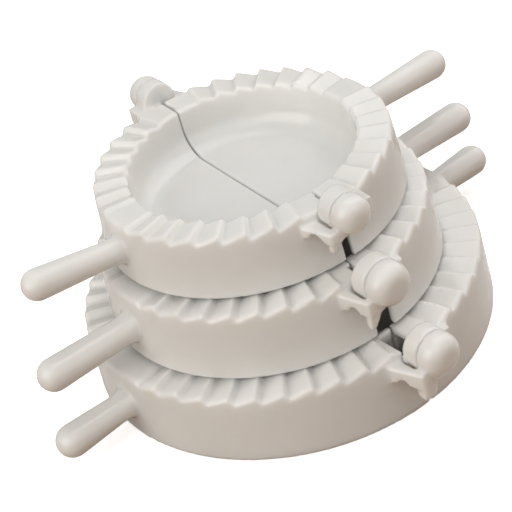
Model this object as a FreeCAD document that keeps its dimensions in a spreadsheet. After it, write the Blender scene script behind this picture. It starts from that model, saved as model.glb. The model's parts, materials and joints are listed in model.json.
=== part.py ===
"""Set of three empanada presses (small, middle and large), each opened flat, stacked on one another.

Every press is two equal polypropylene mouldings. A half has a shallow bowl, a broad rim with saw
teeth, a skirt to stand on and a club-shaped handle. One end carries a snap sleeve and the other an
arm with a pin, so two equal halves, one turned round, hook into each other and fold like a book.

Frame: +X along the handles, Y along the hinge line, +Z up, origin on the table under the middle.
A half is modelled with its rim plane at z = 0 and the hinge line on Y, and is then placed.
"""
import FreeCAD, Part
import math
import os
import Sketcher
from FreeCAD import Placement, Rotation, Vector

PRESSES = ("large", "middle", "small")
SIDES = ("left", "right")

# Driving dimensions in millimetres and degrees, one value for each press where they differ.
# rim_step is how much wider a press is than the one on it, and seat is how far its band reaches
# in under the skirt that stands there.
SIZES = {
    "rim_step": (10.0, 4.7, 0.0),
    "seat": (0.1, 4.0, 0.0),
    "skirt_height": (18.8, 18.1, 16.2),
    "skirt_draft": (0.9, 1.3, 1.3),
    "bowl_depth": (15.0, 13.6, 12.3),
    "bowl_corner": (9.0, 7.5, 6.6),
    "handle_length": (17.5, 23.3, 23.3),
    "handle_root": (3.4, 3.6, 3.1),
    "handle_tip": (4.3, 4.25, 4.0),
    "handle_drop": (9.4, 9.3, 7.9),
    "left_handle_rise": (0.0, 0.0, 8.4),
    "right_handle_rise": (0.0, 0.0, 0.5),
    "handle_aside": (0.75, 0.35, 0.3),
    "handle_swing": (0.0, -0.8, 0.0),
    "barrel_radius": (5.5, 5.6, 4.8),
    "pin_radius": (2.3, 2.2, 2.0),
    "shelf_outer": (9.8, 9.8, 7.8),
    "arm_root": (10.8, 9.9, 10.2),
    "arm_top": (1.7, 1.7, 2.1),
    "arm_depth": (6.4, 5.8, 5.0),
    "arm_end_length": (3.2, 2.4, 2.4),
    "arch_radius": (1.5, 1.5, 1.9),
    "prong_depth": (9.9, 10.0, 7.6),
    "prong_end_share": (0.1, 0.6, 0.6),
    "notch_width": (4.5, 1.5, 0.6),
    "notch_length": (8.6, 6.2, 6.2),
    "notch_depth": (6.0, 20.0, 6.0),
    "post_slot_width": (0.4, 3.6, 2.2),
    "teeth_each_side": (10, 8, 7),
    "pad_angle": (7.5, 7.5, 7.0),
    "block_angle": (7.5, 9.5, 12.0),
    "offset_x": (0.0, -1.7, -0.86),
    "offset_y": (0.0, -0.88, 1.91),
    "turn": (0.0, -1.7, -3.45),
}

# Driving dimensions that all three presses share
SHARED = {
    "top_rim_radius": 37.8,
    "top_band_width": 8.7,
    "wall": 1.8,
    "tooth_height": 1.9,
    "steep_share": 0.16,
    "closed_gap": 0.5,
    "split_gap": 0.3,
    "rest_gap": 0.05,
    "handle_flare": 1.3,
    "handle_flare_length": 3.4,
    "hinge_gap": 0.6,
    "side_gap": 0.15,
    "pin_clearance": 0.08,
    "sweep_clearance": 0.6,
    "snap_share": 0.72,
    "sleeve_length": 4.6,
    "sleeve_end_wall": 0.9,
    "boss_length": 5.7,
    "boss_inset": 0.1,
    "boss_rounding": 3.6,
    "web_inner": 2.6,
    "web_depth": 4.8,
    "shelf_length": 1.0,
    "shelf_top": 1.5,
    "arm_inner": 3.0,
    "arm_end_outer": 6.8,
    "prong_inner": 2.2,
    "foot_top": 3.4,
    "post_slot_top": 5.6,
    "edge_match": 0.5,
    "solid_match": 0.000001,
    "overrun": 2.0,
}

doc = FreeCAD.newDocument("empanada_presses")
sheet = doc.addObject("Spreadsheet::Sheet", "sizes")


def fill_sheet():
    """Write each driving dimension into the sheet under its own alias."""
    row = 1
    for name, value in SHARED.items():
        sheet.set("A%d" % row, name)
        sheet.set("B%d" % row, str(value))
        sheet.setAlias("B%d" % row, name)
        row += 1
    for name, values in SIZES.items():
        for press, value in zip(PRESSES, values):
            sheet.set("A%d" % row, press + "_" + name)
            sheet.set("B%d" % row, str(value))
            sheet.setAlias("B%d" % row, press + "_" + name)
            row += 1
    doc.recompute()


fill_sheet()


def terms(name, press):
    """A radius that follows from the press above, as signed cells of the sheet; else nothing."""
    above = PRESSES[PRESSES.index(press) + 1:]
    if name == "rim_radius":
        steps = [other + "_rim_step" for other in PRESSES[PRESSES.index(press):-1]]
        return [("+", "top_rim_radius")] + [("+", step) for step in steps]
    if name == "bowl_radius" and above:
        skirt = [("+", above[0] + "_skirt_draft"), ("-", "wall"), ("-", press + "_seat")]
        return terms("rim_radius", above[0]) + skirt
    if name == "bowl_radius":
        return terms("rim_radius", press) + [("-", "top_band_width")]
    return []


def size(name, press=None):
    """The number for a shared size, or for one press, that the sheet's cells give."""
    total = 0.0
    alias = name if press is None else press + "_" + name
    for sign, cell_name in (press and terms(name, press)) or [("+", alias)]:
        total += float(sheet.get(cell_name)) * (1 if sign == "+" else -1)
    return total


def cell(text, press):
    """Turn an expression written with plain size names into one that reads the sheet."""
    words = []
    for word in text.split():
        if terms(word, press):
            word = " ".join(sign + " sizes." + name for sign, name in terms(word, press))
            word = "( " + word + " )"
        elif word in SIZES:
            word = "sizes." + press + "_" + word
        elif word in SHARED:
            word = "sizes." + word
        words.append(word)
    return " ".join(words)


def bind(item, press, **expressions):
    """Bind properties of an object to the sheet; a double underscore stands for a dot."""
    for name, text in expressions.items():
        item.setExpression(name.replace("__", "."), cell(text, press))


def primitive(kind, name, press, **expressions):
    """A Part primitive with its sizes and place bound to the sheet."""
    item = doc.addObject(kind, name)
    bind(item, press, **expressions)
    return item


def join(kind, name, base, tool):
    """A Part boolean of two objects."""
    item = doc.addObject(kind, name)
    item.Base = base
    item.Tool = tool
    return item


def unite(name, pieces):
    """A Part fusion of several objects."""
    item = doc.addObject("Part::MultiFuse", name)
    item.Shapes = pieces
    item.Refine = True
    return item


def along_y(item):
    """Lay a cylinder, which FreeCAD makes along Z, along the hinge line, reaching to +Y."""
    item.Placement = Placement(Vector(0, 0, 0), Rotation(Vector(1, 0, 0), -90))


def sketch_polygon(body, name, press, corners):
    """A closed outline on the XZ plane whose corners are pairs of bound expressions."""
    sketch = body.newObject("Sketcher::SketchObject", name)
    plane = [item for item in body.Origin.OriginFeatures if item.Role == "XZ_Plane"][0]
    sketch.AttachmentSupport = [(plane, "")]
    sketch.MapMode = "FlatFace"
    count = len(corners)
    start = [Vector(math.cos(math.tau * i / count), math.sin(math.tau * i / count), 0)
             for i in range(count)]
    for i in range(count):
        sketch.addGeometry(Part.LineSegment(start[i], start[(i + 1) % count]), False)
    for i in range(count):
        sketch.addConstraint(Sketcher.Constraint("Coincident", i, 2, (i + 1) % count, 1))
    distances = []
    for i, (across, up) in enumerate(corners):
        across_at = sketch.addConstraint(Sketcher.Constraint("DistanceX", -1, 1, i, 1, start[i].x))
        up_at = sketch.addConstraint(Sketcher.Constraint("DistanceY", -1, 1, i, 1, start[i].y))
        distances += [(across_at, across), (up_at, up)]
    for number, text in distances:
        sketch.setExpression("Constraints[%d]" % number, cell(text, press))
    return sketch


def shell_body(press, side):
    """Bowl, band and skirt, turned through half a circle about the middle of the bowl."""
    tag = press + "_" + side
    body = doc.addObject("PartDesign::Body", tag + "_shell")
    section = sketch_polygon(body, tag + "_section", press, [
        ("0", "- bowl_depth"),
        ("bowl_radius", "- bowl_depth"),
        ("bowl_radius", "tooth_height / 2"),
        ("rim_radius", "tooth_height / 2"),
        ("rim_radius + skirt_draft", "- skirt_height"),
        ("rim_radius + skirt_draft - wall", "- skirt_height"),
        ("rim_radius - wall", "- tooth_height / 2 - wall"),
        ("bowl_radius + wall", "- tooth_height / 2 - wall"),
        ("bowl_radius + wall", "- bowl_depth - wall"),
        ("0", "- bowl_depth - wall"),
    ])
    turned = body.newObject("PartDesign::Revolution", tag + "_turned")
    turned.Profile = section
    turned.ReferenceAxis = (section, ["V_Axis"])
    turned.Angle = 180
    turned.Midplane = True
    doc.recompute()
    rounded = body.newObject("PartDesign::Fillet", tag + "_bowl_corner")
    rounded.Base = (turned, [bowl_edge(turned.Shape, press, inside=True)])
    bind(rounded, press, Radius="bowl_corner")
    doc.recompute()
    underside = body.newObject("PartDesign::Fillet", tag + "_bowl_underside")
    underside.Base = (rounded, [bowl_edge(rounded.Shape, press, inside=False)])
    bind(underside, press, Radius="bowl_corner + wall")
    doc.recompute()
    body.Tip = underside
    return body


def bowl_edge(shape, press, inside):
    """Name of the corner edge of the bowl: its floor meets its wall there."""
    depth = size("bowl_depth", press)
    radius = size("bowl_radius", press)
    match = size("edge_match")
    if not inside:
        depth += size("wall")
        radius += size("wall")
    for i, edge in enumerate(shape.Edges):
        box = edge.BoundBox
        level = abs(box.ZMin + depth) < match and abs(box.ZMax + depth) < match
        if level and edge.Length > radius and abs(box.XMax - radius) < match:
            return "Edge%d" % (i + 1)
    raise ValueError("no bowl edge on " + press)


def grip(press, side):
    """The club-shaped handle: a long taper that thickens outwards, a round end and a flared root.

    It may stand a little aside of the middle, rise on its way out, or swing off the square to
    the split. The left handle of the
    smallest press is bent upwards, as plastic of this kind often is once it has been used.
    """
    tag = press + "_" + side
    root = "rim_radius - wall / 2"
    length = "( handle_length + wall / 2 )"
    pieces = [
        primitive("Part::Cone", tag + "_grip_taper", press, Radius1="handle_root",
                  Radius2="handle_tip", Height="handle_length + wall / 2"),
        primitive("Part::Cone", tag + "_grip_root", press,
                  Radius1="handle_root + handle_flare", Radius2="handle_root",
                  Height="wall / 2 + skirt_draft + handle_flare_length"),
    ]
    rise_name = side + "_handle_rise"
    rise = size(rise_name, press)
    swing = size("handle_swing", press)
    for piece in pieces:
        piece.Placement = Placement(Vector(0, 0, 0), Rotation(swing, 90 - rise, 0))
        bind(piece, press, Placement__Base__x=root, Placement__Base__y="handle_aside",
             Placement__Base__z="- handle_drop")
    tip = primitive(
        "Part::Sphere", tag + "_grip_tip", press, Radius="handle_tip",
        Placement__Base__x=root + " + %s * cos( %s ) * cos( handle_swing )" % (length, rise_name),
        Placement__Base__y="handle_aside + %s * cos( %s ) * sin( handle_swing )"
                           % (length, rise_name),
        Placement__Base__z="- handle_drop + %s * sin( %s )" % (length, rise_name))
    return unite(tag + "_grip", pieces + [tip])


def tooth_profile(press):
    """Angle and height of each corner of the saw line, from the handle round to the pin end.

    Height is a share of half the tooth height. The line is odd about the handle, so that the
    crests of one half meet the valleys of the other when the press is shut.
    """
    count = int(size("teeth_each_side", press))
    pad = size("pad_angle", press)
    pitch = (90 - pad - size("block_angle", press)) / count
    steep = size("steep_share") * pitch
    points = [(0.0, 0.0), (pad, 0.0)]
    for i in range(count):
        valley = pad + i * pitch + steep / 2
        points.append((valley, -1.0))
        points.append((valley + pitch - steep, 1.0))
    points.append((pad + count * pitch, 0.0))
    points.append((90.0, 0.0))
    mirrored = [(-angle, -height) for angle, height in reversed(points)]
    return mirrored[:-1] + points


def tooth_cutter(press, side):
    """Everything above the saw line: one pyramid for each flat of it, all meeting at the centre."""
    reach = size("rim_radius", press) + size("overrun")
    top = size("tooth_height") + size("overrun")
    scale = reach / size("rim_radius", press)
    half = size("tooth_height") / 2
    drop = size("closed_gap") / 2
    centre = Vector(0, 0, 0)
    pyramids = []
    points = tooth_profile(press)
    for (angle1, height1), (angle2, height2) in zip(points, points[1:]):
        a = math.radians(angle1)
        b = math.radians(angle2)
        low1 = Vector(reach * math.cos(a), reach * math.sin(a), scale * (height1 * half - drop))
        low2 = Vector(reach * math.cos(b), reach * math.sin(b), scale * (height2 * half - drop))
        high1 = Vector(low1.x, low1.y, top)
        high2 = Vector(low2.x, low2.y, top)
        faces = [
            Part.Face(Part.makePolygon([low1, low2, high2, high1, low1])),
            Part.Face(Part.makePolygon([centre, low1, low2, centre])),
            Part.Face(Part.makePolygon([centre, high1, high2, centre])),
            Part.Face(Part.makePolygon([centre, low1, high1, centre])),
            Part.Face(Part.makePolygon([centre, low2, high2, centre])),
        ]
        solid = Part.makeSolid(Part.makeShell(faces))
        solid.fix(size("solid_match"), size("solid_match"), size("solid_match"))
        pyramids.append(solid)
    item = doc.addObject("Part::Feature", press + "_" + side + "_tooth_cutter")
    item.Shape = pyramids[0].multiFuse(pyramids[1:])
    return item


def sleeve_end(press, side):
    """The snap sleeve, its web and a shelf beside it, outside the rim at the -Y end of the half.

    The bore is open towards the boss and blind towards the rim. The web is no wider than the
    smooth block of the rim, and the wider shelf lies below the valleys of the teeth, so that no
    tooth meets them when shut.
    """
    tag = press + "_" + side
    outside = "- rim_radius - hinge_gap"
    sleeve = primitive("Part::Cylinder", tag + "_sleeve", press,
                       Radius="barrel_radius", Height="sleeve_length")
    along_y(sleeve)
    bind(sleeve, press, Placement__Base__y=outside + " - sleeve_length")
    web = primitive("Part::Box", tag + "_web", press,
                    Length="( rim_radius - wall ) * sin( block_angle ) - web_inner",
                    Width="sleeve_length + hinge_gap + wall",
                    Height="web_depth - closed_gap / 2",
                    Placement__Base__x="web_inner",
                    Placement__Base__y=outside + " - sleeve_length",
                    Placement__Base__z="- web_depth")
    shelf = primitive("Part::Box", tag + "_shelf", press,
                      Length="shelf_outer - web_inner",
                      Width="shelf_length + wall",
                      Height="web_depth - shelf_top",
                      Placement__Base__x="web_inner",
                      Placement__Base__y="- rim_radius - shelf_length",
                      Placement__Base__z="- web_depth")
    bore = primitive("Part::Cylinder", tag + "_bore", press,
                     Radius="pin_radius + pin_clearance",
                     Height="sleeve_length - sleeve_end_wall + overrun")
    along_y(bore)
    bind(bore, press, Placement__Base__y=outside + " - sleeve_length - overrun")
    snap = primitive("Part::Box", tag + "_snap_mouth", press,
                     Length="2 * pin_radius * snap_share",
                     Width="sleeve_length - sleeve_end_wall + overrun",
                     Height="barrel_radius + overrun",
                     Placement__Base__x="- pin_radius * snap_share",
                     Placement__Base__y=outside + " - sleeve_length - overrun",
                     Placement__Base__z="- barrel_radius - overrun")
    solid = unite(tag + "_sleeve_and_web", [sleeve, web, shelf])
    hollow = unite(tag + "_bore_and_mouth", [bore, snap])
    return join("Part::Cut", tag + "_sleeve_end", solid, hollow)


def boss_body(press, side):
    """The boss beyond the end of the sleeve: a short cylinder with a well rounded end."""
    tag = press + "_" + side
    body = doc.addObject("PartDesign::Body", tag + "_boss")
    section = sketch_polygon(body, tag + "_boss_section", press, [
        ("0", "0"),
        ("barrel_radius - boss_inset", "0"),
        ("barrel_radius - boss_inset", "boss_length"),
        ("0", "boss_length"),
    ])
    turned = body.newObject("PartDesign::Revolution", tag + "_boss_turned")
    turned.Profile = section
    turned.ReferenceAxis = (section, ["V_Axis"])
    turned.Angle = 360
    doc.recompute()
    rim = [i for i, edge in enumerate(turned.Shape.Edges)
           if edge.BoundBox.ZMin > size("boss_length") - size("edge_match")
           and edge.BoundBox.XMax > size("boss_rounding")]
    rounded = body.newObject("PartDesign::Fillet", tag + "_boss_rounding")
    rounded.Base = (turned, ["Edge%d" % (rim[0] + 1)])
    bind(rounded, press, Radius="boss_rounding")
    doc.recompute()
    body.Tip = rounded
    return body


def pin_end(press, side):
    """The arm, its prong and the rounded boss with the pin, outside the rim at the +Y end.

    The arm runs beside the turning sleeve, narrows outwards and reaches under the boss by its foot.
    """
    tag = press + "_" + side
    outside = "rim_radius + hinge_gap"
    boss_start = outside + " + sleeve_length + side_gap"
    pin_start = outside + " + sleeve_end_wall + side_gap"
    pin = primitive("Part::Cylinder", tag + "_pin", press,
                    Radius="pin_radius", Height="sleeve_length - sleeve_end_wall + wall")
    along_y(pin)
    bind(pin, press, Placement__Base__y=pin_start)
    boss = boss_body(press, side)
    along_y(boss)
    bind(boss, press, Placement__Base__y=boss_start)
    reach = "2 * wall + hinge_gap + sleeve_length + side_gap + arm_end_length"
    arm = primitive("Part::Wedge", tag + "_arm", press,
                    Xmin="arm_inner", Xmax="arm_root",
                    Ymin="0", Ymax=reach,
                    Zmin="0", Zmax="arm_depth - arm_top",
                    X2min="arm_inner", X2max="arm_end_outer",
                    Z2min="0", Z2max="arm_depth - arm_top",
                    Placement__Base__y="rim_radius - 2 * wall",
                    Placement__Base__z="- arm_depth")
    sweep = primitive("Part::Cylinder", tag + "_arm_sweep", press,
                      Radius="barrel_radius + sweep_clearance",
                      Height=reach + " + 2 * overrun")
    along_y(sweep)
    bind(sweep, press, Placement__Base__y="rim_radius - 2 * wall - overrun")
    arch = primitive("Part::Cylinder", tag + "_arm_arch", press,
                     Radius="arch_radius", Height="arm_root + overrun")
    arch.Placement = Placement(Vector(0, 0, 0), Rotation(Vector(0, 1, 0), 90))
    bind(arch, press,
         Placement__Base__y=outside + " + sleeve_length / 2",
         Placement__Base__z="- arm_depth")
    cuts = unite(tag + "_arm_cuts", [sweep, arch])
    cradle = join("Part::Cut", tag + "_cradle", arm, cuts)
    foot = primitive("Part::Box", tag + "_arm_foot", press,
                     Length="arm_end_outer - prong_inner",
                     Width="arm_end_length",
                     Height="arm_depth - foot_top",
                     Placement__Base__x="prong_inner",
                     Placement__Base__y=boss_start,
                     Placement__Base__z="- arm_depth")
    prong = primitive("Part::Wedge", tag + "_prong", press,
                      Xmin="prong_inner", Xmax="arm_end_outer",
                      Ymin="0", Ymax="prong_depth - arm_depth + wall",
                      Zmin="0", Zmax="arm_end_length",
                      X2min="prong_inner + ( arm_end_outer - prong_inner ) * prong_end_share",
                      X2max="arm_end_outer",
                      Z2min="0",
                      Z2max="arm_end_length * ( 1 - prong_end_share / 2 )")
    prong.Placement = Placement(Vector(0, 0, 0), Rotation(Vector(1, 0, 0), -90))
    bind(prong, press, Placement__Base__y=boss_start, Placement__Base__z="wall - arm_depth")
    return unite(tag + "_pin_end", [pin, boss, cradle, foot, prong])


def trimmed_shell(press, side):
    """The turned shell with its teeth and its flat split face, opened at both ends of the hinge.

    A slot lies under the sleeve of the half, and a notch beside the sleeve of the other half.
    """
    tag = press + "_" + side
    body = shell_body(press, side)
    teeth = tooth_cutter(press, side)
    split = primitive("Part::Box", tag + "_split", press,
                      Length="overrun + split_gap / 2",
                      Width="2 * ( rim_radius + skirt_draft + overrun )",
                      Height="skirt_height + tooth_height + 2 * overrun",
                      Placement__Base__x="- overrun",
                      Placement__Base__y="- rim_radius - skirt_draft - overrun",
                      Placement__Base__z="- skirt_height - overrun")
    slot = primitive("Part::Box", tag + "_post_slot", press,
                     Length="post_slot_width + overrun",
                     Width="2 * wall + skirt_draft + overrun",
                     Height="skirt_height - post_slot_top + overrun",
                     Placement__Base__x="- overrun",
                     Placement__Base__y="- rim_radius - skirt_draft - overrun",
                     Placement__Base__z="- skirt_height - overrun")
    notch = primitive("Part::Box", tag + "_notch", press,
                      Length="notch_width + overrun",
                      Width="notch_length + wall + skirt_draft",
                      Height="notch_depth + tooth_height + overrun",
                      Placement__Base__x="- overrun",
                      Placement__Base__y="rim_radius - notch_length",
                      Placement__Base__z="- notch_depth")
    trims = unite(tag + "_trims", [teeth, split, slot, notch])
    return join("Part::Cut", tag + "_trimmed", body, trims)


def rim_level(press):
    """Height of a press's rim plane: each press stands on the crests of the one below."""
    level = 0.0
    for name in PRESSES:
        level += size("skirt_height", name)
        if name == press:
            return level
        level += (size("tooth_height") - size("closed_gap")) / 2 + size("rest_gap")
    raise ValueError("no press " + press)


def half(press, side):
    """One whole moulding, placed in the stack; the left half is the same shape turned round."""
    moulding = unite(press + "_" + side + "_half",
                     [trimmed_shell(press, side), grip(press, side),
                      sleeve_end(press, side), pin_end(press, side)])
    turn = size("turn", press) + (180 if side == "left" else 0)
    place = Vector(size("offset_x", press), size("offset_y", press), rim_level(press))
    moulding.Placement = Placement(place, Rotation(Vector(0, 0, 1), turn))
    moulding.Label = press + "_" + side + "_half"
    return moulding


def check(item):
    """Stop on an object that failed, or on a shape that is empty or not valid."""
    if "Invalid" in item.State or "Error" in item.State:
        raise RuntimeError("failed object " + item.Label)
    if hasattr(item, "Shape") and item.TypeId.startswith("Part"):
        if item.Shape.isNull() or not item.Shape.isValid():
            raise RuntimeError("bad shape " + item.Label)


halves = [half(press, side) for press in PRESSES for side in SIDES]
doc.recompute()
for item in doc.Objects:
    check(item)

os.makedirs("parts", exist_ok=True)
for moulding in halves:
    shape = moulding.Shape
    if len(shape.Solids) != 1:
        raise RuntimeError("%s has %d solids" % (moulding.Label, len(shape.Solids)))
    shape.exportStep("parts/" + moulding.Label + ".step")
    box = shape.BoundBox
    print("%s volume %.0f mm3, x %.1f to %.1f, y %.1f to %.1f, z %.1f to %.1f" % (
        moulding.Label, shape.Volume, box.XMin, box.XMax, box.YMin, box.YMax, box.ZMin, box.ZMax))
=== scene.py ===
"""Three nesting empanada presses of white polypropylene, opened flat and stacked."""
import json
import math

import bmesh
import bpy
from mathutils import Matrix, Vector


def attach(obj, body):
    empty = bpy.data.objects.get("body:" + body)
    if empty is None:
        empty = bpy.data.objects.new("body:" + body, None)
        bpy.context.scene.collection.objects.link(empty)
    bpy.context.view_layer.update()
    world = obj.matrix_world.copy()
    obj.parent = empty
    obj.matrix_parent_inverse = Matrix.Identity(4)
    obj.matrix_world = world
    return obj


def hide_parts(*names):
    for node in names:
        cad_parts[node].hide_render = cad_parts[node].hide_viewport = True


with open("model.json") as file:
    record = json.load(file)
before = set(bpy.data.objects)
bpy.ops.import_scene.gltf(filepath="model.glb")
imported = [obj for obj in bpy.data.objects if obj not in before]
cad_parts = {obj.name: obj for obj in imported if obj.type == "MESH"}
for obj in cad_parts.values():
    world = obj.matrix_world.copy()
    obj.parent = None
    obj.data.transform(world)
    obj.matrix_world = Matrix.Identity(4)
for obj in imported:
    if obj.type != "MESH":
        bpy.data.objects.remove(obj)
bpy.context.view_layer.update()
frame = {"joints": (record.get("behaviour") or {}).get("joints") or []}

# Toothed shells: the bowl, band and skirt of one half, moulded in one wall of polypropylene
# The wall's section is turned through half a circle, and saw teeth are pressed into its band that
# mesh with the other half's when the press shuts. Sizes are in millimetres and degrees, with the
# rim plane at z = 0 and the hinge line on Y.
MM = 0.001
WALL = 1.8
CLOSED_GAP = 0.5
RIM_RADIUS = {"large": 52.5, "middle": 42.5, "small": 37.8}
BOWL_RADIUS = {"large": 41.9, "middle": 33.3, "small": 29.1}
BOWL_DEPTH = {"large": 15.0, "middle": 13.6, "small": 12.3}
BOWL_CORNER = {"large": 9.0, "middle": 7.5, "small": 6.6}
SKIRT_HEIGHT = {"large": 18.8, "middle": 18.1, "small": 16.2}
SKIRT_DRAFT = {"large": 0.9, "middle": 1.3, "small": 1.3}
TEETH_EACH_SIDE = {"large": 10, "middle": 8, "small": 7}
PAD_ANGLE = {"large": 7.5, "middle": 7.5, "small": 7.0}
BLOCK_ANGLE = {"large": 7.5, "middle": 9.5, "small": 12.0}
TOOTH_HEIGHT = 1.9
STEEP_SHARE = 0.16
TOOTH_ROUNDING = 0.4
LIP = 0.9
FOOT = 0.4
CORNER_STEPS = 12
SECTION_POINTS = 260
HALF_TURN_POINTS = 641
PATH_RADIUS = 1.0
MERGE_DISTANCE = 0.001


def add_node(tree, kind, inputs=None, **settings):
    """Add a node to a tree. An input is a value, or the output socket that feeds it."""
    node = tree.nodes.new(kind)
    for name, value in settings.items():
        setattr(node, name, value)
    for name, value in (inputs or {}).items():
        if isinstance(value, bpy.types.NodeSocket):
            tree.links.new(value, node.inputs[name])
        else:
            node.inputs[name].default_value = value
    return node


def shell_section(press):
    """Corners of the wall's section with their rounding, from the bowl's middle over the rim."""
    rim = RIM_RADIUS[press]
    bowl = BOWL_RADIUS[press]
    depth = BOWL_DEPTH[press]
    corner = BOWL_CORNER[press]
    foot_out = rim + SKIRT_DRAFT[press]
    under = -TOOTH_HEIGHT / 2 - WALL
    return [
        (0, -depth, 0),
        (bowl, -depth, corner),
        (bowl, 0, LIP),
        (rim, 0, LIP),
        (foot_out, -SKIRT_HEIGHT[press], FOOT),
        (foot_out - WALL, -SKIRT_HEIGHT[press], FOOT),
        (rim - WALL, under, LIP),
        (bowl + WALL, under, LIP),
        (bowl + WALL, -depth - WALL, corner + WALL),
        (0, -depth - WALL, 0),
    ]


def toothed_shell_tree():
    """Geometry nodes: round a section's corners, turn it half round and press saw teeth in it."""
    tree = bpy.data.node_groups.new("toothed_shell", "GeometryNodeTree")
    tree.interface.new_socket("Section", in_out="INPUT", socket_type="NodeSocketGeometry")
    for name in ("Rim Radius", "First Tooth", "Tooth Angle", "Teeth", "Fall End", "Rise End",
                 "Rounding", "Half Tooth", "Drop", "Band Depth"):
        tree.interface.new_socket(name, in_out="INPUT", socket_type="NodeSocketFloat")
    tree.interface.new_socket("Plastic", in_out="INPUT", socket_type="NodeSocketMaterial")
    tree.interface.new_socket("Shell", in_out="OUTPUT", socket_type="NodeSocketGeometry")
    given = add_node(tree, "NodeGroupInput").outputs

    corner = add_node(tree, "GeometryNodeInputRadius")
    rounded = add_node(tree, "GeometryNodeFilletCurve", {
        "Curve": given["Section"], "Count": CORNER_STEPS, "Radius": corner.outputs["Radius"],
        "Limit Radius": True}, mode="POLY")
    section = add_node(tree, "GeometryNodeResampleCurve", {
        "Curve": rounded.outputs[0], "Count": SECTION_POINTS}, mode="COUNT")
    arc = add_node(tree, "GeometryNodeCurveArc", {
        "Resolution": HALF_TURN_POINTS, "Radius": PATH_RADIUS, "Start Angle": -math.pi / 2,
        "Sweep Angle": math.pi}, mode="RADIUS")
    path = add_node(tree, "GeometryNodeSetCurveNormal", {"Curve": arc.outputs["Curve"]},
                    mode="Z_UP")
    turned_shell = add_node(tree, "GeometryNodeCurveToMesh", {
        "Curve": path.outputs[0], "Profile Curve": section.outputs[0], "Fill Caps": True})

    # How many teeth past the smooth pad each point lies, and how far through its own tooth
    point = add_node(tree, "GeometryNodeInputPosition")
    place = add_node(tree, "ShaderNodeSeparateXYZ", {0: point.outputs[0]}).outputs
    flat = add_node(tree, "ShaderNodeCombineXYZ", {"X": place["X"], "Y": place["Y"]})
    reach = add_node(tree, "ShaderNodeVectorMath", {0: flat.outputs[0]}, operation="LENGTH")
    turn = add_node(tree, "ShaderNodeMath", {0: place["Y"], 1: place["X"]}, operation="ARCTAN2")
    degrees = add_node(tree, "ShaderNodeMath", {0: turn.outputs[0]}, operation="DEGREES")
    angle = add_node(tree, "ShaderNodeMath", {0: degrees.outputs[0]}, operation="ABSOLUTE")
    past_pad = add_node(tree, "ShaderNodeMath", {
        0: angle.outputs[0], 1: given["First Tooth"]}, operation="SUBTRACT")
    count = add_node(tree, "ShaderNodeMath", {
        0: past_pad.outputs[0], 1: given["Tooth Angle"]}, operation="DIVIDE")
    phase = add_node(tree, "ShaderNodeMath", {0: count.outputs[0]}, operation="FRACT")

    # Saw line: half a steep fall, a long rise and the other half of the fall, softly joined
    fall = add_node(tree, "ShaderNodeMapRange", {
        "Value": phase.outputs[0], "From Min": 0.0, "From Max": given["Fall End"],
        "To Min": 0.0, "To Max": -1.0}, clamp=False)
    rise = add_node(tree, "ShaderNodeMapRange", {
        "Value": phase.outputs[0], "From Min": given["Fall End"], "From Max": given["Rise End"],
        "To Min": -1.0, "To Max": 1.0}, clamp=False)
    next_fall = add_node(tree, "ShaderNodeMapRange", {
        "Value": phase.outputs[0], "From Min": given["Rise End"], "From Max": 1.0,
        "To Min": 1.0, "To Max": 0.0}, clamp=False)
    valley = add_node(tree, "ShaderNodeMath", {
        0: fall.outputs[0], 1: rise.outputs[0], 2: given["Rounding"]}, operation="SMOOTH_MAX")
    crest = add_node(tree, "ShaderNodeMath", {
        0: valley.outputs[0], 1: next_fall.outputs[0], 2: given["Rounding"]},
        operation="SMOOTH_MIN")
    past_first = add_node(tree, "ShaderNodeMath", {
        0: count.outputs[0], 1: 0.0}, operation="GREATER_THAN")
    before_last = add_node(tree, "ShaderNodeMath", {
        0: count.outputs[0], 1: given["Teeth"]}, operation="LESS_THAN")
    among_teeth = add_node(tree, "ShaderNodeMath", {
        0: past_first.outputs[0], 1: before_last.outputs[0]}, operation="MULTIPLY")
    side = add_node(tree, "ShaderNodeMath", {0: degrees.outputs[0]}, operation="SIGN")
    toothed = add_node(tree, "ShaderNodeMath", {
        0: crest.outputs[0], 1: among_teeth.outputs[0]}, operation="MULTIPLY")
    handed = add_node(tree, "ShaderNodeMath", {
        0: toothed.outputs[0], 1: side.outputs[0]}, operation="MULTIPLY")
    level = add_node(tree, "ShaderNodeMath", {
        0: handed.outputs[0], 1: given["Half Tooth"], 2: given["Drop"]}, operation="MULTIPLY_ADD")

    # The teeth spread out from the middle of the bowl, and the band's underside stays flat
    spread = add_node(tree, "ShaderNodeMath", {
        0: reach.outputs["Value"], 1: given["Rim Radius"]}, operation="DIVIDE")
    spread_level = add_node(tree, "ShaderNodeMath", {
        0: level.outputs[0], 1: spread.outputs[0]}, operation="MULTIPLY")
    in_band = add_node(tree, "ShaderNodeMapRange", {
        "Value": place["Z"], "From Min": given["Band Depth"], "From Max": given["Drop"],
        "To Min": 0.0, "To Max": 1.0})
    lift = add_node(tree, "ShaderNodeMath", {
        0: spread_level.outputs[0], 1: in_band.outputs[0]}, operation="MULTIPLY")
    offset = add_node(tree, "ShaderNodeCombineXYZ", {"Z": lift.outputs[0]})
    pressed = add_node(tree, "GeometryNodeSetPosition", {
        "Geometry": turned_shell.outputs[0], "Offset": offset.outputs[0]})
    closed = add_node(tree, "GeometryNodeMergeByDistance", {
        "Geometry": pressed.outputs[0], "Distance": MERGE_DISTANCE})
    real = add_node(tree, "GeometryNodeRealizeInstances", {"Geometry": closed.outputs[0]})
    done = add_node(tree, "GeometryNodeSetMaterial", {
        "Geometry": real.outputs[0], "Material": given["Plastic"]})
    add_node(tree, "NodeGroupOutput", {"Shell": done.outputs[0]})
    return tree


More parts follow.
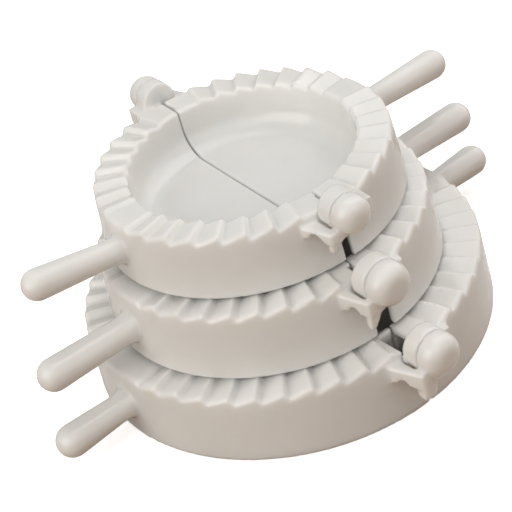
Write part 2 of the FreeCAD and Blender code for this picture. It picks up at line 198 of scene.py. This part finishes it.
def as_plain_mesh(item, name):
    """The finished mesh of an object with its modifiers; the object itself is taken away."""
    bpy.context.view_layer.update()
    finished = item.evaluated_get(bpy.context.evaluated_depsgraph_get())
    mesh = bpy.data.meshes.new_from_object(finished)
    mesh.name = name
    item.modifiers.clear()
    bpy.data.objects.remove(item)
    return mesh


def linear_colour(text):
    """A colour written as sRGB hex, made linear."""
    shares = [int(text[i:i + 2], 16) / 255 for i in (1, 3, 5)]
    return [s / 12.92 if s <= 0.04045 else ((s + 0.055) / 1.055) ** 2.4 for s in shares] + [1.0]


# Injection-moulded polypropylene: white and half opaque, so light comes through thin edges. The
# polished mould gives the gloss. Reflections waver, because the surface shrinks as it cools. Real
# wear is finer than the grain here, which is drawn coarse enough to show.
DARKEST = "#E4E3E0"
LIGHTEST = "#EDECEA"
CLOUD_SIZE = 14 * MM
WAVE_SIZE = 5 * MM
WAVE_HEIGHT = 0.12 * MM
GRAIN_SIZE = 0.5 * MM
GRAIN_HEIGHT = 0.01 * MM
SMOOTHEST = 0.08
ROUGHEST = 0.13
POLYPROPYLENE_IOR = 1.49
LIGHT_DEPTH = 3.0 * MM
DEPTH_SHARES = (1.0, 0.93, 0.86)
plastic = bpy.data.materials.new("moulded_polypropylene")
plastic.use_nodes = True
plastic.node_tree.nodes.clear()


def polypropylene(tree):
    """Colour with faint clouding, gloss with fine wear, and the shallow waves of shrinkage."""
    place = add_node(tree, "ShaderNodeTexCoord").outputs["Object"]
    clouds = add_node(tree, "ShaderNodeTexNoise", {
        "Vector": place, "Scale": 1 / CLOUD_SIZE, "Detail": 3.0, "Roughness": 0.55})
    tone = add_node(tree, "ShaderNodeMix", {
        "Factor": clouds.outputs[0], "A": linear_colour(DARKEST), "B": linear_colour(LIGHTEST)},
        data_type="RGBA")
    waves = add_node(tree, "ShaderNodeTexNoise", {
        "Vector": place, "Scale": 1 / WAVE_SIZE, "Detail": 1.0, "Roughness": 0.4})
    grain = add_node(tree, "ShaderNodeTexNoise", {
        "Vector": place, "Scale": 1 / GRAIN_SIZE, "Detail": 2.0, "Roughness": 0.6})
    wave_bump = add_node(tree, "ShaderNodeBump", {
        "Height": waves.outputs[0], "Strength": 0.25, "Distance": WAVE_HEIGHT})
    grain_bump = add_node(tree, "ShaderNodeBump", {
        "Height": grain.outputs[0], "Strength": 0.2, "Distance": GRAIN_HEIGHT,
        "Normal": wave_bump.outputs[0]})
    gloss = add_node(tree, "ShaderNodeMapRange", {
        "Value": grain.outputs[0], "To Min": SMOOTHEST, "To Max": ROUGHEST})
    surface = add_node(tree, "ShaderNodeBsdfPrincipled", {
        "Base Color": tone.outputs["Result"], "Roughness": gloss.outputs[0],
        "IOR": POLYPROPYLENE_IOR, "Subsurface Weight": 0.8, "Subsurface Radius": DEPTH_SHARES,
        "Subsurface Scale": LIGHT_DEPTH, "Normal": grain_bump.outputs[0]})
    add_node(tree, "ShaderNodeOutputMaterial", {"Surface": surface.outputs[0]})


polypropylene(plastic.node_tree)

shell_tree = toothed_shell_tree()


def toothed_shell(press):
    """The mesh of one half's bowl, band, teeth and skirt."""
    curve = bpy.data.curves.new(press + "_section", "CURVE")
    curve.dimensions = "3D"
    spline = curve.splines.new("POLY")
    corners = shell_section(press)
    spline.points.add(len(corners) - 1)
    for point, (radius, level, rounding) in zip(spline.points, corners):
        point.co = (radius - PATH_RADIUS, -level, 0, 1)
        point.radius = rounding
    spline.use_cyclic_u = True
    item = bpy.data.objects.new(press + "_section", curve)
    bpy.context.scene.collection.objects.link(item)
    modifier = item.modifiers.new("toothed_shell", "NODES")
    modifier.node_group = shell_tree
    toothed_angle = 90 - PAD_ANGLE[press] - BLOCK_ANGLE[press]
    values = {
        "Rim Radius": RIM_RADIUS[press], "First Tooth": PAD_ANGLE[press],
        "Tooth Angle": toothed_angle / TEETH_EACH_SIDE[press],
        "Teeth": float(TEETH_EACH_SIDE[press]), "Fall End": STEEP_SHARE / 2,
        "Rise End": 1 - STEEP_SHARE / 2, "Rounding": TOOTH_ROUNDING,
        "Half Tooth": TOOTH_HEIGHT / 2, "Drop": -CLOSED_GAP / 2,
        "Band Depth": -TOOTH_HEIGHT / 2 - WALL, "Plastic": plastic}
    for socket in shell_tree.interface.items_tree:
        if socket.in_out == "INPUT" and socket.name in values:
            modifier[socket.identifier] = values[socket.name]
    return as_plain_mesh(item, press + "_shell")


# Club handles: moulded in one with the skirt
# Each is a round bar that flares where it meets the skirt and thickens to a ball end. The left
# handle of the smallest press is bent upwards, as plastic of this kind often is after use.
HANDLE_LENGTH = {"large": 17.5, "middle": 23.3, "small": 23.3}
HANDLE_ROOT = {"large": 3.4, "middle": 3.6, "small": 3.1}
HANDLE_TIP = {"large": 4.3, "middle": 4.25, "small": 4.0}
HANDLE_DROP = {"large": 9.4, "middle": 9.3, "small": 7.9}
LEFT_HANDLE_RISE = {"large": 0.0, "middle": 0.0, "small": 8.4}
RIGHT_HANDLE_RISE = {"large": 0.0, "middle": 0.0, "small": 0.5}
HANDLE_ASIDE = {"large": 0.75, "middle": 0.35, "small": 0.3}
HANDLE_SWING = {"large": 0.0, "middle": -0.8, "small": 0.0}
HANDLE_FLARE = 1.3
HANDLE_FLARE_LENGTH = 3.4
ROUND_SIDES = 96
END_STEPS = 24


def turned(outline, direction):
    """A closed mesh turned about the line from the origin along +X or +Y.

    The outline is pairs of distance along the line and radius, and it starts and ends on it. A
    point on the line is one vertex, which the faces round it share.
    """
    mesh = bmesh.new()
    rings = []
    for along, radius in outline:
        ring = []
        for i in range(ROUND_SIDES if radius > 0 else 1):
            a = math.tau * i / ROUND_SIDES
            ring.append(mesh.verts.new((along, radius * math.cos(a), radius * math.sin(a))))
        rings.append(ring)
    for ring, following in zip(rings, rings[1:]):
        for i in range(ROUND_SIDES):
            corners = [ring[i % len(ring)], ring[(i + 1) % len(ring)],
                       following[(i + 1) % len(following)], following[i % len(following)]]
            mesh.faces.new(list(dict.fromkeys(corners)))
    if direction == "Y":
        mesh.transform(Matrix.Rotation(math.pi / 2, 4, "Z"))
    return mesh


def ball_end(centre, radius):
    """The outline's last points: a quarter circle that closes a round bar."""
    steps = [math.pi / 2 * i / END_STEPS for i in range(END_STEPS)]
    points = [(centre + radius * math.sin(a), radius * math.cos(a)) for a in steps]
    return points + [(centre + radius, 0)]


def handle(press, side):
    """One handle, from inside the skirt's wall out to its ball end."""
    rises = LEFT_HANDLE_RISE if side == "left" else RIGHT_HANDLE_RISE
    length = HANDLE_LENGTH[press] + WALL / 2
    flare_end = WALL / 2 + SKIRT_DRAFT[press] + HANDLE_FLARE_LENGTH
    outline = [(0, 0)]
    for i in range(END_STEPS + 1):
        along = flare_end * i / END_STEPS
        taper = HANDLE_ROOT[press] + (HANDLE_TIP[press] - HANDLE_ROOT[press]) * along / length
        outline.append((along, taper + HANDLE_FLARE * (1 - i / END_STEPS) ** 2))
    mesh = turned(outline + ball_end(length, HANDLE_TIP[press]), "X")
    root = (RIM_RADIUS[press] - WALL / 2, HANDLE_ASIDE[press], -HANDLE_DROP[press])
    place = Matrix.Translation(root)
    swing = Matrix.Rotation(math.radians(HANDLE_SWING[press]), 4, "Z")
    rise = Matrix.Rotation(math.radians(-rises[press]), 4, "Y")
    mesh.transform(place @ swing @ rise)
    return mesh


# Snap sleeves: a C-shaped ring at the -Y end of each half, on a web and a shelf from the skirt
# Its mouth is narrower than the pin, which is pushed in through it once and stays. A wall closes
# the ring towards the rim.
BARREL_RADIUS = {"large": 5.5, "middle": 5.6, "small": 4.8}
PIN_RADIUS = {"large": 2.3, "middle": 2.2, "small": 2.0}
SHELF_OUTER = {"large": 9.8, "middle": 9.8, "small": 7.8}
HINGE_GAP = 0.6
SLEEVE_LENGTH = 4.6
SLEEVE_END_WALL = 0.9
PIN_CLEARANCE = 0.08
SNAP_SHARE = 0.72
WEB_INNER = 2.6
WEB_DEPTH = 4.8
SHELF_LENGTH = 1.0
SHELF_TOP = 1.5


def drawn_out(outline, start, length, end_outline=None):
    """A closed mesh: an outline on the XZ plane, drawn out along +Y from start.

    It may end in another outline with as many corners.
    """
    mesh = bmesh.new()
    near = [mesh.verts.new((x, start, z)) for x, z in outline]
    far = [mesh.verts.new((x, start + length, z)) for x, z in end_outline or outline]
    mesh.faces.new(near)
    mesh.faces.new(far[::-1])
    for i in range(len(outline)):
        following = (i + 1) % len(outline)
        mesh.faces.new((near[i], far[i], far[following], near[following]))
    bmesh.ops.recalc_face_normals(mesh, faces=mesh.faces)
    return mesh


def arc_points(radius, start, end):
    """Points on a circle about the hinge line, from one angle to another in degrees."""
    steps = round(abs(end - start) / 360 * ROUND_SIDES)
    angles = [math.radians(start + (end - start) * i / steps) for i in range(steps + 1)]
    return [(radius * math.cos(a), radius * math.sin(a)) for a in angles]


def box_outline(left, right, low, high):
    """The four corners of a box on the XZ plane."""
    return [(left, low), (right, low), (right, high), (left, high)]


def sleeve(press):
    """The sleeve, its web and its shelf."""
    start = -RIM_RADIUS[press] - HINGE_GAP - SLEEVE_LENGTH
    bore = PIN_RADIUS[press] + PIN_CLEARANCE
    mouth = PIN_RADIUS[press] * SNAP_SHARE
    outer = math.degrees(math.asin(mouth / BARREL_RADIUS[press]))
    inner = math.degrees(math.asin(mouth / bore))
    ring = (arc_points(BARREL_RADIUS[press], outer - 90, 270 - outer)
            + arc_points(bore, 270 - inner, inner - 90))
    web_outer = (RIM_RADIUS[press] - WALL) * math.sin(math.radians(BLOCK_ANGLE[press]))
    web = box_outline(WEB_INNER, web_outer, -WEB_DEPTH, -CLOSED_GAP / 2)
    shelf = box_outline(WEB_INNER, SHELF_OUTER[press], -WEB_DEPTH, -SHELF_TOP)
    end_wall = arc_points(BARREL_RADIUS[press], 0, 360)[:-1]
    return [drawn_out(ring, start, SLEEVE_LENGTH),
            drawn_out(end_wall, start + SLEEVE_LENGTH - SLEEVE_END_WALL, SLEEVE_END_WALL),
            drawn_out(web, start, SLEEVE_LENGTH + HINGE_GAP + WALL),
            drawn_out(shelf, -RIM_RADIUS[press] - SHELF_LENGTH, SHELF_LENGTH + WALL)]


# Pin arms: the +Y end of each half
# An arm reaches out beside the sleeve of the other half and under a rounded boss that carries the
# pin. A short prong hangs from the arm's end, and a small arch lightens the arm.
ARM_ROOT = {"large": 10.8, "middle": 9.9, "small": 10.2}
ARM_TOP = {"large": 1.7, "middle": 1.7, "small": 2.1}
ARM_DEPTH = {"large": 6.4, "middle": 5.8, "small": 5.0}
ARM_END_LENGTH = {"large": 3.2, "middle": 2.4, "small": 2.4}
ARCH_RADIUS = {"large": 1.5, "middle": 1.5, "small": 1.9}
PRONG_DEPTH = {"large": 9.9, "middle": 10.0, "small": 7.6}
PRONG_END_SHARE = {"large": 0.1, "middle": 0.6, "small": 0.6}
SIDE_GAP = 0.15
BOSS_LENGTH = 5.7
BOSS_ROUNDING = 3.6
BOSS_INSET = 0.1
ARM_INNER = 3.0
ARM_END_OUTER = 6.8
SWEEP_CLEARANCE = 0.6
PRONG_INNER = 2.2
FOOT_TOP = 3.4


def as_object(mesh, name):
    """An object of a bmesh, in the scene."""
    data = bpy.data.meshes.new(name)
    mesh.to_mesh(data)
    mesh.free()
    item = bpy.data.objects.new(name, data)
    bpy.context.scene.collection.objects.link(item)
    return item


def cut_away(item, cutters, name):
    """The mesh of an object less each of the cutters, which are bmeshes."""
    cutting = []
    for number, cutter_mesh in enumerate(cutters):
        cutter = as_object(cutter_mesh, "%s_cutter_%d" % (name, number))
        modifier = item.modifiers.new(cutter.name, "BOOLEAN")
        modifier.operation = "DIFFERENCE"
        modifier.object = cutter
        cutting.append(cutter)
    cut = as_plain_mesh(item, name)
    for cutter in cutting:
        bpy.data.objects.remove(cutter)
    return cut


def cradle(press):
    """The arm: narrower outwards, hollowed to clear the turning sleeve, with an arch under it."""
    start = RIM_RADIUS[press] - 2 * WALL
    length = 2 * WALL + HINGE_GAP + SLEEVE_LENGTH + SIDE_GAP + ARM_END_LENGTH[press]
    low = -ARM_DEPTH[press]
    root = box_outline(ARM_INNER, ARM_ROOT[press], low, -ARM_TOP[press])
    end = box_outline(ARM_INNER, ARM_END_OUTER, low, -ARM_TOP[press])
    item = as_object(drawn_out(root, start, length, end), "arm")
    clear = BARREL_RADIUS[press] + SWEEP_CLEARANCE
    sweep = drawn_out(arc_points(clear, 0, 360)[:-1], start - WALL, length + 2 * WALL)
    arch_length = 2 * ARM_ROOT[press]
    arch = turned([(0, 0), (0, ARCH_RADIUS[press]), (arch_length, ARCH_RADIUS[press]),
                   (arch_length, 0)], "X")
    bmesh.ops.recalc_face_normals(arch, faces=arch.faces)
    middle = RIM_RADIUS[press] + HINGE_GAP + SLEEVE_LENGTH / 2
    bmesh.ops.translate(arch, verts=arch.verts, vec=(0, middle, low))
    cut = bmesh.new()
    cut.from_mesh(cut_away(item, [sweep, arch], "arm"))
    return cut


def prong(press, start):
    """The prong under the arm's end, narrower at its point."""
    low = -ARM_DEPTH[press]
    mesh = drawn_out(box_outline(PRONG_INNER, ARM_END_OUTER, -PRONG_DEPTH[press], WALL + low),
                     start, ARM_END_LENGTH[press])
    for vertex in mesh.verts:
        if vertex.co.z < low:
            if vertex.co.x < ARM_END_OUTER:
                vertex.co.x += (ARM_END_OUTER - PRONG_INNER) * PRONG_END_SHARE[press]
            if vertex.co.y > start + ARM_END_LENGTH[press] / 2:
                vertex.co.y -= ARM_END_LENGTH[press] * PRONG_END_SHARE[press] / 2
    return mesh


def pin_arm(press):
    """Pin, rounded boss, arm, its foot and prong."""
    pin_start = RIM_RADIUS[press] + HINGE_GAP + SLEEVE_END_WALL + SIDE_GAP
    boss_start = RIM_RADIUS[press] + HINGE_GAP + SLEEVE_LENGTH + SIDE_GAP
    pin = turned([(pin_start, 0), (pin_start, PIN_RADIUS[press]),
                  (boss_start + WALL, PIN_RADIUS[press]), (boss_start + WALL, 0)], "Y")
    radius = BARREL_RADIUS[press] - BOSS_INSET
    outline = [(boss_start, 0), (boss_start, radius)]
    for i in range(END_STEPS + 1):
        a = math.pi / 2 * i / END_STEPS
        outline.append((boss_start + BOSS_LENGTH - BOSS_ROUNDING * (1 - math.sin(a)),
                        radius - BOSS_ROUNDING * (1 - math.cos(a))))
    boss = turned(outline + [(boss_start + BOSS_LENGTH, 0)], "Y")
    foot = drawn_out(box_outline(PRONG_INNER, ARM_END_OUTER, -ARM_DEPTH[press], -FOOT_TOP),
                     boss_start, ARM_END_LENGTH[press])
    return [pin, boss, cradle(press), foot, prong(press, boss_start)]


# Whole mouldings: the pieces of a half are one skin, with the soft edges that a mould leaves
# A half is cut flat at the split, opened at both ends of the hinge and skinned on a fine grid. The
# other half is the same shape turned round. Each press stands on the teeth of the one below.
PRESSES = ("large", "middle", "small")
SPLIT_GAP = 0.3
POST_SLOT_WIDTH = {"large": 0.4, "middle": 3.6, "small": 2.2}
POST_SLOT_TOP = 5.6
NOTCH_WIDTH = {"large": 4.5, "middle": 1.5, "small": 0.6}
NOTCH_DEPTH = {"large": 6.0, "middle": 20.0, "small": 6.0}
NOTCH_LENGTH = {"large": 8.6, "middle": 6.2, "small": 6.2}
SKIN_GRID = {"large": 0.5, "middle": 0.44, "small": 0.39}
SKIN_PASSES = 4
PASS_SHARE = 0.5
OVERRUN = 2.0


def trimmed(press):
    """The shell with its split face cut back, and the slot and the notch opened."""
    item = bpy.data.objects.new(press + "_trimmed", toothed_shell(press))
    bpy.context.scene.collection.objects.link(item)
    rim = RIM_RADIUS[press]
    reach = rim + SKIRT_DRAFT[press] + OVERRUN
    low = -SKIRT_HEIGHT[press] - OVERRUN
    split = drawn_out(box_outline(-OVERRUN, SPLIT_GAP / 2, low, OVERRUN), -reach, 2 * reach)
    slot = drawn_out(box_outline(-OVERRUN, POST_SLOT_WIDTH[press], low, -POST_SLOT_TOP), -reach,
                     reach - rim + 2 * WALL)
    notch = drawn_out(box_outline(-OVERRUN, NOTCH_WIDTH[press], -NOTCH_DEPTH[press], OVERRUN),
                      rim - NOTCH_LENGTH[press], reach - rim + NOTCH_LENGTH[press])
    return cut_away(item, [split, slot, notch], press + "_trimmed")


def half_mesh(press, side):
    """One whole half with its rim plane at z = 0, in millimetres."""
    whole = bmesh.new()
    whole.from_mesh(trimmed(press))
    for piece in [handle(press, side)] + sleeve(press) + pin_arm(press):
        data = bpy.data.meshes.new("piece")
        bmesh.ops.recalc_face_normals(piece, faces=piece.faces)
        piece.to_mesh(data)
        piece.free()
        whole.from_mesh(data)
        bpy.data.meshes.remove(data)
    item = as_object(whole, "%s_%s_whole" % (press, side))
    skin = item.modifiers.new("skin", "REMESH")
    skin.mode = "VOXEL"
    skin.voxel_size = SKIN_GRID[press]
    skin.use_smooth_shade = True
    soften = item.modifiers.new("soften", "SMOOTH")
    soften.factor = PASS_SHARE
    soften.iterations = SKIN_PASSES
    mesh = as_plain_mesh(item, "%s_%s_skin" % (press, side))
    mesh.materials.clear()
    mesh.materials.append(plastic)
    return mesh


folds = {joint["name"]: joint for joint in frame["joints"]}
for press in PRESSES:
    fold = folds[press + "_fold"]
    lean = math.atan2(fold["axis"][0], -fold["axis"][1])
    for side, turn in (("left", math.pi), ("right", 0.0)):
        mesh = half_mesh(press, side)
        mesh.transform(Matrix.Translation(Vector(fold["pos_m"]))
                       @ Matrix.Rotation(lean + turn, 4, "Z") @ Matrix.Scale(MM, 4))
        moulding = bpy.data.objects.new("%s_%s_moulding" % (press, side), mesh)
        bpy.context.scene.collection.objects.link(moulding)
        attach(moulding, press + "_" + side)
        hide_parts(press + "_" + side + "_half")


# Floor: a plain matt sheet, white to the camera, that gives back little and warm light
# The warm light tints the lower skirts. The sheet glows a little for the camera, so that only a
# faint shadow shows.
FLOOR_SIDE = 1.4
FLOOR_GLOW = 0.6
WHITE = "#FFFFFF"
WARM_BROWN = "#906A42"
floor_paint = bpy.data.materials.new("studio_floor")
floor_paint.use_nodes = True
floor_paint.node_tree.nodes.clear()


def seen_white(tree, path):
    """1 for the rays that show a white ground: the camera's, gloss's and glass's."""
    seen = add_node(tree, "ShaderNodeMath", {
        0: path["Is Camera Ray"], 1: path["Is Glossy Ray"]}, operation="MAXIMUM")
    seen_through = add_node(tree, "ShaderNodeMath", {
        0: seen.outputs[0], 1: path["Is Transmission Ray"]}, operation="MAXIMUM")
    return seen_through.outputs[0]


def floor_surface(tree):
    """White where the camera, gloss or glass sees it, and brown in the light it gives back."""
    path = add_node(tree, "ShaderNodeLightPath").outputs
    colour = add_node(tree, "ShaderNodeMix", {
        "Factor": seen_white(tree, path), "A": linear_colour(WARM_BROWN),
        "B": linear_colour(WHITE)}, data_type="RGBA")
    paper = add_node(tree, "ShaderNodeBsdfDiffuse", {"Color": colour.outputs["Result"]})
    glow_strength = add_node(tree, "ShaderNodeMath", {
        0: path["Is Camera Ray"], 1: FLOOR_GLOW}, operation="MULTIPLY")
    glow = add_node(tree, "ShaderNodeEmission", {
        "Color": linear_colour(WHITE), "Strength": glow_strength.outputs[0]})
    both = add_node(tree, "ShaderNodeAddShader", {0: paper.outputs[0], 1: glow.outputs[0]})
    add_node(tree, "ShaderNodeOutputMaterial", {"Surface": both.outputs[0]})


floor_surface(floor_paint.node_tree)
floor_mesh = bmesh.new()
bmesh.ops.create_grid(floor_mesh, x_segments=1, y_segments=1, size=FLOOR_SIDE / 2)
floor = as_object(floor_mesh, "floor")
floor.data.materials.append(floor_paint)

# Backdrop: white where the camera, gloss or glass sees past the floor, and a faint even light
WORLD_LIGHT = 0.02
world = bpy.data.worlds.new("studio")
bpy.context.scene.world = world
world.use_nodes = True
world.node_tree.nodes.clear()


def studio_world(tree):
    """A white ground to look at, nearly dark as a light."""
    path = add_node(tree, "ShaderNodeLightPath").outputs
    strength = add_node(tree, "ShaderNodeMapRange", {
        "Value": seen_white(tree, path), "To Min": WORLD_LIGHT, "To Max": 1.0})
    light = add_node(tree, "ShaderNodeBackground", {
        "Color": linear_colour(WHITE), "Strength": strength.outputs[0]})
    add_node(tree, "ShaderNodeOutputWorld", {"Surface": light.outputs[0]})


studio_world(world.node_tree)

# Lamps: broad soft boxes on the left, the right, in front and above, and three small bare lamps
# for the small highlights of glossy plastic. The left, right and front boxes are a little warm.
LAMP_TARGET = Vector((0, 0, 30 * MM))
LAMP_DISTANCE = 1.1
BOX_SIDE = 0.95
BARE_SIDE = 0.03
BARE_WATTS = 0.2
BARE_TINT = "#FFFDF8"


def direction_to(azimuth, elevation):
    """From the object towards a lamp or the camera. Azimuth 0 is -Y, and 90 is +X."""
    a = math.radians(azimuth)
    e = math.radians(elevation)
    return Vector((math.sin(a) * math.cos(e), -math.cos(a) * math.cos(e), math.sin(e)))


def square_lamp(name, azimuth, elevation, side, watts, tint):
    """An area lamp at a direction from the object, turned to face it."""
    data = bpy.data.lights.new(name, "AREA")
    data.shape = "RECTANGLE"
    data.size = side
    data.size_y = side
    data.energy = watts
    data.color = linear_colour(tint)[:3]
    lamp = bpy.data.objects.new(name, data)
    bpy.context.scene.collection.objects.link(lamp)
    back = direction_to(azimuth, elevation)
    lamp.location = LAMP_TARGET + back * LAMP_DISTANCE
    lamp.rotation_euler = back.to_track_quat("Z", "Y").to_euler()


square_lamp("left_box", -90, 27, BOX_SIDE, 7.2, "#FFFBF4")
square_lamp("right_box", 90, 27, BOX_SIDE, 3.4, "#FFF8F0")
square_lamp("high_right_box", 90, 70, BOX_SIDE, 4.8, WHITE)
square_lamp("upper_box", -30, 45, BOX_SIDE, 2.5, WHITE)
square_lamp("front_box", 30, 27, BOX_SIDE, 2.0, "#FFF6EA")
square_lamp("upper_lamp", -45, 52, BARE_SIDE, BARE_WATTS, BARE_TINT)
square_lamp("left_lamp", -62, 36, BARE_SIDE, BARE_WATTS, BARE_TINT)
square_lamp("right_lamp", 6, 34, BARE_SIDE, BARE_WATTS, BARE_TINT)

# Camera: at the photograph's place, tilted as it was held
VIEW_AZIMUTH = -29.35
VIEW_ELEVATION = 35.3
VIEW_ROLL = -15.9
VIEW_DISTANCE = 0.3785
VIEW_TARGET = Vector((-0.00949, -0.00637, 0.030))
VIEW_LENS = 106.3

camera_data = bpy.data.cameras.new("camera")
camera_data.lens = VIEW_LENS
camera = bpy.data.objects.new("camera", camera_data)
bpy.context.scene.collection.objects.link(camera)
back = direction_to(VIEW_AZIMUTH, VIEW_ELEVATION)
camera.location = VIEW_TARGET + back * VIEW_DISTANCE
level = back.to_track_quat("Z", "Y").to_matrix().to_4x4()
tilted = level @ Matrix.Rotation(math.radians(VIEW_ROLL), 4, "Z")
camera.rotation_euler = tilted.to_euler()
bpy.context.scene.camera = camera

bpy.context.scene.view_settings.view_transform = "Standard"
